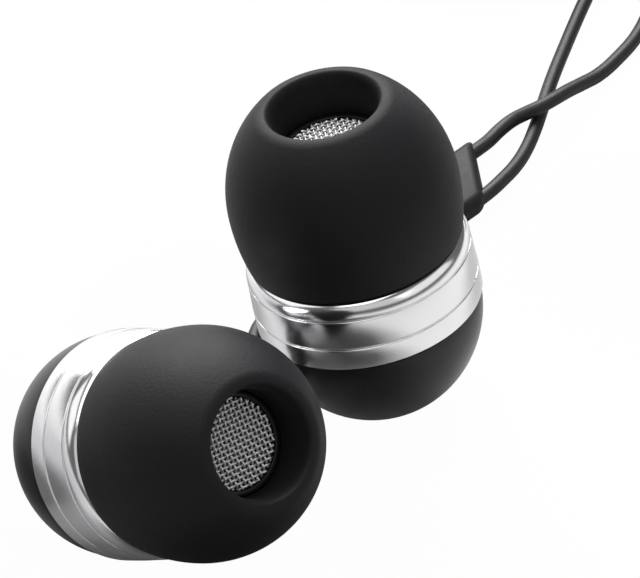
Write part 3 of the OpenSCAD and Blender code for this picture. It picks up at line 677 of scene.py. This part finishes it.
tip = turned(
    "soft_tip",
    [(sleeve_r, sleeve_back), (sleeve_r, nozzle_end + 0.1), (throat_r, nozzle_end + 0.1),
     (throat_r, nozzle_end + 0.2)]
    + arc((lip_r, lip_z), (lip_in, lip_round), 180, 90, 16)
    + arc((lip_r, lip_z), (lip_round, lip_round), 90, 90 - math.degrees(lip_lean), 14)[1:]
    + arc((0, wide_z), (tip_r, tip_front), lip_start - 2, 0, 40)[:-1]
    + arc((0, wide_z), (tip_r, tip_back_axis), 0, -skirt_angle, 18)
    + skirt_rim
    + arc((0, wide_z), (tip_r - tip_wall, tip_back_axis), -skirt_angle + 1.5, 0, 14)[:-1]
    + arc((0, wide_z), (tip_r - tip_wall, tip_front - tip_wall), 0, web_start, 24)
    + [(sleeve_out + 0.3, web_z + 0.3), (sleeve_out + 0.06, web_z + 0.1), (sleeve_out, web_z - 0.1),
       (sleeve_out, sleeve_back + sleeve_edge), (sleeve_out - sleeve_edge, sleeve_back),
       (sleeve_r, sleeve_back)],
    160,
)
fit_to_buds(tip, silicone, "ear_tip", "SIDE_tip")

# ---- Strain reliefs of the buds -----------------------------------------------------
# Soft rubber boots: a flange inside the dome holds each, and its collar and ribs let the
# cord bend gently where it leaves the bud.
cord_bore = 0.45
flange_in = 4
collar_r = 1.5
collar_end = 7.25
collar_gap = 0.05
boot_end_r = 0.75
rib_deep = 0.22
rubber = Finish("soft_black", Specular_IOR_Level=0.3)
rubber_grain = rubber.grain(4000, 3)
rubber.set(
    Base_Color=rubber.blend(rubber_grain, (0.009, 0.0085, 0.0095, 1), (0.014, 0.0135, 0.015, 1)),
    Roughness=0.5 + 0.15 * rubber_grain,
    Normal=rubber.bumps(rubber_grain, 0.004),
)


def ribs(start, end, first_r, last_r, count, deep):
    """The corners of ribs that step down from one radius to another."""
    width = (end - start) / count
    corners = []
    for k in range(count):
        radius = first_r + (last_r - first_r) * k / count
        z = start + k * width
        corners += [
            (radius, z), (radius - deep * 0.2, z + width * 0.6),
            (radius - deep, z + width * 0.64), (radius - deep, z + width * 0.96),
        ]
    return corners


boot = turned(
    "cord_boot",
    rounded(
        [(cord_bore, flange_in), (flange_r, flange_in), (flange_r, flange_out), (relief_r, flange_out),
         (relief_r, boss_end + collar_gap), (collar_r, boss_end + collar_gap), (collar_r, collar_end)]
        + ribs(collar_end + 0.1, relief_end - 0.3, relief_r, boot_end_r, 4, rib_deep)
        + [(boot_end_r, relief_end - 0.28), (boot_end_r - 0.06, relief_end), (cord_bore, relief_end)],
        0.05,
    ),
    64,
)
along_x = Matrix.Rotation(math.pi / 2, 4, "Y")
boot.data.transform(Matrix.Translation(Vector((0, 0, -relief_back * mm))) @ along_x)
fit_to_buds(boot, rubber, "strain_relief")

# ---- Cord slider --------------------------------------------------------------------
# A flat moulded bead with a slanting front: the two bud cords run through it, and it is
# pushed along them to gather them.
slider_w = 4
slider_long = 5.6
slider_slant = 3
slider_thick = 1.5
slider_round = 0.62
slide_fit = 0.06
moulding = Finish("black_moulding", Specular_IOR_Level=0.2)
moulding_grain = moulding.grain(3000, 3)
moulding.set(
    Base_Color=moulding.blend(moulding_grain, (0.0085, 0.008, 0.0095, 1), (0.0135, 0.013, 0.0145, 1)),
    Roughness=0.4 + 0.15 * moulding_grain,
    Normal=moulding.bumps(moulding_grain, 0.004),
)


def block(name, low, high):
    """A box between two corners in millimetres, left in edit mode and selected all over."""
    low, high = Vector(low) * mm, Vector(high) * mm
    bpy.ops.object.select_all(action="DESELECT")
    bpy.ops.mesh.primitive_cube_add(size=1)
    piece = bpy.context.object
    piece.name = name
    bpy.ops.object.mode_set(mode="EDIT")
    bpy.ops.mesh.select_all(action="SELECT")
    bpy.ops.transform.resize(value=high - low, center_override=(0, 0, 0))
    bpy.ops.transform.translate(value=(low + high) / 2)
    return piece


slider = block(
    "flat_slider", (0, -slider_w / 2, -slider_thick / 2), (slider_long, slider_w / 2, slider_thick / 2))
bpy.ops.mesh.select_all(action="DESELECT")
bpy.ops.object.mode_set(mode="OBJECT")
for corner in slider.data.vertices:
    corner.select = corner.co.x > 0 and corner.co.y < 0
bpy.ops.object.mode_set(mode="EDIT")
bpy.ops.transform.translate(value=(-slider_slant * mm, 0, 0))
bpy.ops.object.mode_set(mode="OBJECT")
eased(slider, slider_round, 7)
for side in (-1, 1):
    hole = (-1, side * slide_gap, 0), (slider_long + 1, side * slide_gap, 0)
    combine(slider, rod(bud_cord_d / 2 + slide_fit, *hole), "DIFFERENCE")
slider.data.transform(
    Matrix.Translation(on_slide(slide_run - slider_long, 0) * mm) @ slide_turn.to_4x4())
dress(smoothed(slider), moulding, "cord_slider", "slider")

# ---- Y-splitter ---------------------------------------------------------------------
# Moulded over the joint of the cords: flat and wide at the two bud cords, and drawn in to
# a ribbed neck at the main cord. Each station is how far along, half width, half height.
splitter_stations = [
    (0, 1.95, 1.15), (0.12, 2.08, 1.28), (0.4, 2.17, 1.37), (1, 2.2, 1.4), (2.2, 2.16, 1.4),
    (3.4, 2.02, 1.4), (4.5, 1.78, 1.39), (5.2, 1.6, 1.37),
]
for rib in (5.3, 6, 6.7):
    splitter_stations += [
        (rib, 1.58, 1.36), (rib + 0.06, 1.42, 1.24), (rib + 0.24, 1.42, 1.24), (rib + 0.3, 1.54, 1.33)]
splitter_stations += [(7.6, 1.5, 1.3), (7.9, 1.4, 1.22), (8, 1.28, 1.12)]
bpy.ops.object.select_all(action="DESELECT")
bpy.ops.mesh.primitive_circle_add(vertices=64, radius=mm, fill_type="NGON", rotation=(math.pi / 2, 0, 0))
splitter = bpy.context.object
splitter.name = "cord_joint"
bpy.ops.object.transform_apply(location=False, rotation=True, scale=False)
bpy.ops.object.mode_set(mode="EDIT")
bpy.ops.mesh.select_all(action="SELECT")
was_y, was_w, was_h = 0, 1, 1
for y, w, h in splitter_stations:
    if y:
        bpy.ops.mesh.extrude_region_move(TRANSFORM_OT_translate={"value": (0, (y - was_y) * mm, 0)})
    bpy.ops.transform.resize(value=(w / was_w, 1, h / was_h), center_override=(0, y * mm, 0))
    was_y, was_w, was_h = y, w, h
bpy.ops.mesh.select_all(action="SELECT")
bpy.ops.mesh.normals_make_consistent(inside=False)
bpy.ops.object.mode_set(mode="OBJECT")
for side in (-1, 1):
    hole = (side * leg_in, -1, 0), (side * leg_in, socket + seat, 0)
    combine(splitter, rod(bud_cord_d / 2 + seat, *hole), "DIFFERENCE")
neck = (0, splitter_long - socket - seat, 0), (0, splitter_long + 1, 0)
combine(splitter, rod(main_cord_d / 2 + seat, *neck), "DIFFERENCE")
splitter.data.transform(Matrix.Translation(Vector((pair_x, splitter_y, split_z)) * mm))
dress(smoothed(splitter), moulding, "y_splitter")

# ---- Ties ---------------------------------------------------------------------------
# Hook-and-loop strips wrapped round each coil, one on each bud coil and two on the main
# one, with the free end laid over on top.
tie_w = 3
slack = 0.3
tie_cloth = Finish("tie_strip", Specular_IOR_Level=0.2, Sheen_Weight=0.3, Sheen_Roughness=0.5)
loops = tie_cloth.grain(6000, 4)
tie_rows = tie_cloth.grain(900, 2, stretch=(1, 1, 3))
tie_cloth.set(
    Base_Color=tie_cloth.blend(loops, (0.012, 0.012, 0.014, 1), (0.03, 0.03, 0.034, 1)),
    Roughness=0.75 + 0.2 * tie_rows,
    Normal=tie_cloth.bumps(loops + tie_rows, 0.03),
)


def strap(at, angle, mid_r, turns, pitch, layers, cord_d, thick):
    """A strip round a coil's turns, at an angle round the coil."""
    wide = (turns * pitch + cord_d + slack) / 2 + seat
    high = ((layers - 1) * pitch + cord_d) / 2 + seat
    half = tie_w / 2
    out_w, out_h = wide + thick, high + thick
    piece = block("strap", (-out_w, -half, -out_h), (out_w, half, out_h))
    bpy.ops.object.mode_set(mode="OBJECT")
    eased(piece, thick * 1.6, 5)
    inside = block("inside", (-wide, -tie_w, -high), (wide, tie_w, high))
    bpy.ops.object.mode_set(mode="OBJECT")
    combine(piece, eased(inside, thick * 0.7, 4), "DIFFERENCE")
    end = block(
        "end", (-wide * 0.2, -half + 0.05, out_h - 0.05), (wide * 0.8, half - 0.05, out_h + thick * 0.7))
    bpy.ops.object.mode_set(mode="OBJECT")
    combine(piece, eased(end, thick * 0.3, 3), "UNION")
    turn = Matrix.Rotation(math.radians(angle), 4, "Z")
    middle = Vector((mid_r, 0, (layers - 1) * pitch / 2)) * mm
    piece.data.transform(Matrix.Translation(at * mm) @ turn @ Matrix.Translation(middle))
    return smoothed(piece)


for side, angle in (("left", 200), ("right", -20)):
    bud_strap = strap(
        coil_at[side], angle, bud_coil_r, bud_turns, bud_pitch, bud_layers, bud_cord_d, small_tie)
    bud_strap.name = f"{side}_strap"
    dress(bud_strap, tie_cloth, f"{side}_cord_tie")
main_straps = [
    strap(
        coil_at["main"], angle, main_coil_r, main_turns, main_pitch, main_layers, main_cord_d, main_tie)
    for angle in (75, 255)
]
for one in main_straps:
    one.select_set(True)
bpy.ops.object.join()
main_straps = bpy.context.object
main_straps.name = "main_straps"
dress(main_straps, tie_cloth, "main_cord_ties")

# ---- Plug ---------------------------------------------------------------------------
# A round 3.5 mm plug with three turned contacts on a plastic core, a moulded handle with
# grip grooves, and a ribbed strain relief. It lies across the main cord's coil.
relief_long = 7
handle_end = 20
pin_r = 1.75
core_r = 0.9
contact_ends = [20, 27, 27.6, 29.8, 30.4, 34]
grip_start = 9.6
grip_step = 1.1
grip_deep = 0.16
at_plug = Matrix.Translation(Vector((plug_x, plug_y, plug_z)) * mm) @ along_x
plating = Finish("plug_metal", Metallic=1, Base_Color=(0.56, 0.56, 0.57, 1))
plating_lines = plating.grain(1, 3, stretch=(3, 60, 1), where="UV")
plating.set(Roughness=0.24 + 0.14 * plating_lines, Normal=plating.bumps(plating_lines, 0.001))
nylon = Finish("inner_plastic", Specular_IOR_Level=0.4)
nylon_grain = nylon.grain(2500, 3)
nylon.set(
    Base_Color=nylon.blend(nylon_grain, (0.02, 0.02, 0.022, 1), (0.03, 0.03, 0.033, 1)),
    Roughness=0.45 + 0.15 * nylon_grain,
)
contacts = []
for low, high in ((0, 1), (2, 3)):
    low, high = contact_ends[low] + seat, contact_ends[high] - seat
    contacts.append(turned(
        "contact",
        rounded([(core_r + seat, low), (pin_r, low), (pin_r, high), (core_r + seat, high)], 0.06),
        64))

# The tip contact has a waist that the socket's spring holds, and a rounded point
low, high = contact_ends[4] + seat, contact_ends[5]
contacts.append(turned(
    "contact",
    rounded(
        [(core_r + seat, low), (pin_r, low), (pin_r, low + 0.5), (pin_r - 0.35, low + 1.1, 0.25),
         (pin_r, low + 1.9, 0.3), (pin_r - 0.5, high - 0.6, 0.3), (0.5, high, 0.3), (0, high, 0),
         (0, high - 1, 0), (core_r + seat, high - 1)], 0.06),
    64))
for one in contacts:
    one.select_set(True)
bpy.ops.object.join()
contacts = bpy.context.object
contacts.name = "turned_contacts"
contacts.data.transform(at_plug)
dress(contacts, plating, "plug_contacts")

core = [(0, contact_ends[0] - socket, 0), (core_r, contact_ends[0] - socket)]
for low, high in ((1, 2), (3, 4)):
    core += [(core_r, contact_ends[low]), (pin_r - 0.03, contact_ends[low]),
             (pin_r - 0.03, contact_ends[high]), (core_r, contact_ends[high])]
core += [(core_r, contact_ends[5] - 1 - seat), (0, contact_ends[5] - 1 - seat, 0)]
insulators = turned("contact_core", rounded(core, 0.04), 64)
insulators.data.transform(at_plug)
dress(insulators, nylon, "plug_insulators")

grip = []
for k in range(5):
    z = grip_start + k * grip_step
    grip += [(handle_r, z), (handle_r - grip_deep, z + 0.12), (handle_r - grip_deep, z + 0.38),
             (handle_r, z + 0.5)]
handle = turned(
    "plug_grip",
    rounded(
        [(0, relief_long + 0.1, 0), (main_cord_d / 2 + seat, relief_long + 0.1),
         (main_cord_d / 2 + seat, relief_long), (handle_r - 0.5, relief_long, 0.3),
         (handle_r, relief_long + 0.7, 0.4)]
        + grip
        + [(handle_r, handle_end - 3, 0.6), (handle_r - 0.3, handle_end - 1.2, 0.5),
           (handle_r - 0.3, handle_end - 0.3, 0.15), (handle_r - 0.55, handle_end, 0.15),
           (core_r + seat, handle_end), (core_r + seat, handle_end - socket - seat),
           (0, handle_end - socket - seat, 0)],
        0.08,
    ),
    96,
)
handle.data.transform(at_plug)
dress(handle, moulding, "plug_handle")

plug_boot = turned(
    "plug_boot",
    rounded(
        [(main_cord_d / 2 + seat, 0), (main_cord_d / 2 + 0.3, 0, 0.15)]
        + ribs(0.4, relief_long - 0.4, main_cord_d / 2 + 0.4, handle_r - 0.6, 6, rib_deep)
        + [(handle_r - 0.7, relief_long - 0.38), (handle_r - 0.7, relief_long - seat),
           (main_cord_d / 2 + seat, relief_long - seat)],
        0.05,
    ),
    64,
)
plug_boot.data.transform(at_plug)
dress(plug_boot, rubber, "plug_strain_relief")

# ---- Pieces inside the buds ---------------------------------------------------------
# The driver, its damper and felt, the circuit board with its leads, and the crimp on the
# cord: plain turned and stamped pieces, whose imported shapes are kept. Each look is a name,
# a light and a dark colour, spots to the metre, roughness and depth of bump in millimetres.
inner_looks = {
    "nozzle_damper": ("damper_foam", (0.11, 0.11, 0.115), (0.06, 0.06, 0.062), 3500, 0.9, 0.03),
    "vent_felt": ("vent_felt", (0.8, 0.78, 0.73), (0.62, 0.6, 0.56), 5000, 0.9, 0.02),
    "driver_cover": ("driver_steel", (0.6, 0.6, 0.62), (0.5, 0.5, 0.52), 900, 0.3, 0.001),
    "surround": ("speaker_film", (0.62, 0.36, 0.1), (0.5, 0.28, 0.07), 1500, 0.35, 0.001),
    "voice_coil": ("copper", (0.72, 0.3, 0.12), (0.55, 0.2, 0.07), 4000, 0.3, 0.01),
    "magnet": ("magnet", (0.35, 0.36, 0.38), (0.24, 0.25, 0.27), 2500, 0.4, 0.002),
    "driver_frame": ("inner_plastic", (0.03, 0.031, 0.034), (0.02, 0.02, 0.023), 2500, 0.5, 0.003),
    "terminal_board": ("circuit_board", (0.03, 0.15, 0.06), (0.02, 0.1, 0.04), 2000, 0.4, 0.002),
    "lead_wires": ("lead_lacquer", (0.45, 0.03, 0.02), (0.3, 0.02, 0.015), 3000, 0.3, 0.002),
}
shared_looks = {
    "driver_cover": ("top_plate", "yoke"), "surround": ("diaphragm",), "voice_coil": ("cord_crimp",)}
for node, (name, light, dark, scale, rough, deep) in inner_looks.items():
    metal = 1 if name in ("driver_steel", "copper", "magnet") else 0
    look = Finish(f"inside_{name}", Metallic=metal)
    spots = look.grain(scale, 3)
    look.set(
        Base_Color=look.blend(spots, (*dark, 1), (*light, 1)),
        Roughness=rough + 0.15 * spots,
        Normal=look.bumps(spots, deep),
    )
    for kind in (node, *shared_looks.get(node, ())):
        for side in buds:
            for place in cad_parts[f"{side}_{kind}"].material_slots:
                place.material = look.material

# ---- Floor, backdrop and lights -----------------------------------------------------
# A white sheet under wide soft lamps: the strong ones stand behind the object and weak ones
# on both sides, above and in front, so the faces towards the camera stay quiet.
bpy.ops.mesh.primitive_plane_add(size=6)
floor = bpy.context.object
floor.name = "studio_floor"
paper = Finish("white_paper", Roughness=0.8)


def painted_shadow_patch(middle, radius):
    """A soft round mask of painted shadow on the sheet, 1 in its middle and 0 at its edge; in
    millimetres.
    """
    place = paper.node("ShaderNodeTexCoord", output="Object")
    shift = (-middle[0] / radius, -middle[1] / radius, 0)
    size = (1 / (radius * mm),) * 3
    place = paper.node("ShaderNodeMapping", {"Vector": place, "Location": shift, "Scale": size})
    return paper.node(
        "ShaderNodeTexGradient", {"Vector": place}, output="Fac", gradient_type="SPHERICAL")


# The camera sees the sheet white. The metal mirrors it as a mid grey with painted shadows: soft darker
# patches that stand in for the buds' shadows and for light falling off, each with its middle, radius and
# shade: left of the buds, close on their left, in front, between the buds and right of them.
tone = (0.53, 0.53, 0.53, 1)
for middle, radius, shade in (
    ((-50, -12), 62, (0.32, 0.32, 0.33, 1)),
    ((-20, -4), 14, (0.05, 0.05, 0.05, 1)),
    ((3, -21), 23, (0.02, 0.02, 0.02, 1)),
    ((-3, 12), 8, (0.2, 0.2, 0.2, 1)),
    ((22, 18), 13, (0.3, 0.3, 0.3, 1)),
):
    tone = paper.blend(1.5 * painted_shadow_patch(middle, radius), tone, shade)
# The painted shadows go into the sheet's colour, which the camera hardly sees.
paper.set(Base_Color=tone)
camera_ray, glossy_ray, through_ray = (
    paper.node("ShaderNodeLightPath", output=name)
    for name in ("Is Camera Ray", "Is Glossy Ray", "Is Transmission Ray"))
seen = 0.98 * camera_ray + 0.02 * glossy_ray + 0.02 * through_ray
glow = paper.node("ShaderNodeEmission", {"Strength": 1})
mixed = paper.node("ShaderNodeMixShader", {0: seen, 1: Wire(paper, paper.shader.outputs[0]), 2: glow})
paper.tree.links.new(mixed.socket, paper.tree.nodes["Material Output"].inputs["Surface"])
floor.data.materials.append(paper.material)

# The room is white to the camera and dim as a light
world = bpy.data.worlds.new("studio")
bpy.context.scene.world = world
world.use_nodes = True
sky = world.node_tree
background = sky.nodes["Background"]
light_path = sky.nodes.new("ShaderNodeLightPath")
level = sky.nodes.new("ShaderNodeMapRange")
level.inputs["To Min"].default_value = 0.14
level.inputs["To Max"].default_value = 1
sky.links.new(light_path.outputs["Is Camera Ray"], level.inputs["Value"])
sky.links.new(level.outputs["Result"], background.inputs["Strength"])
background.inputs["Color"].default_value = (1, 1, 1, 1)


def lamp(name, place, size, power):
    """A soft box at a place in millimetres, aimed at the middle of the buds."""
    bpy.ops.object.light_add(type="AREA", location=Vector(place) * mm)
    light = bpy.context.object
    light.name = name
    light.data.shape = "RECTANGLE"
    light.data.size = size[0] * mm
    light.data.size_y = size[1] * mm
    light.data.energy = power
    aim = Vector((0, 0, 6)) * mm - light.location
    light.rotation_euler = aim.to_track_quat("-Z", "Y").to_euler()


lamp("back_lamp", (-50, 320, 310), (380, 240), 3.4)
lamp("low_back_lamp", (-60, 420, 130), (560, 190), 1.4)
lamp("left_lamp", (-330, 40, 200), (300, 280), 0.26)
lamp("top_lamp", (-40, 10, 330), (420, 200), 0.45)
lamp("right_lamp", (280, -80, 200), (420, 260), 0.26)
lamp("front_lamp", (20, -230, 170), (420, 190), 0.12)

bpy.context.scene.view_settings.view_transform = "Standard"

# Where each bud cord leaves its strain relief, worked out but not kept.
for side in buds:
    from_bud(side, relief_end) * mm
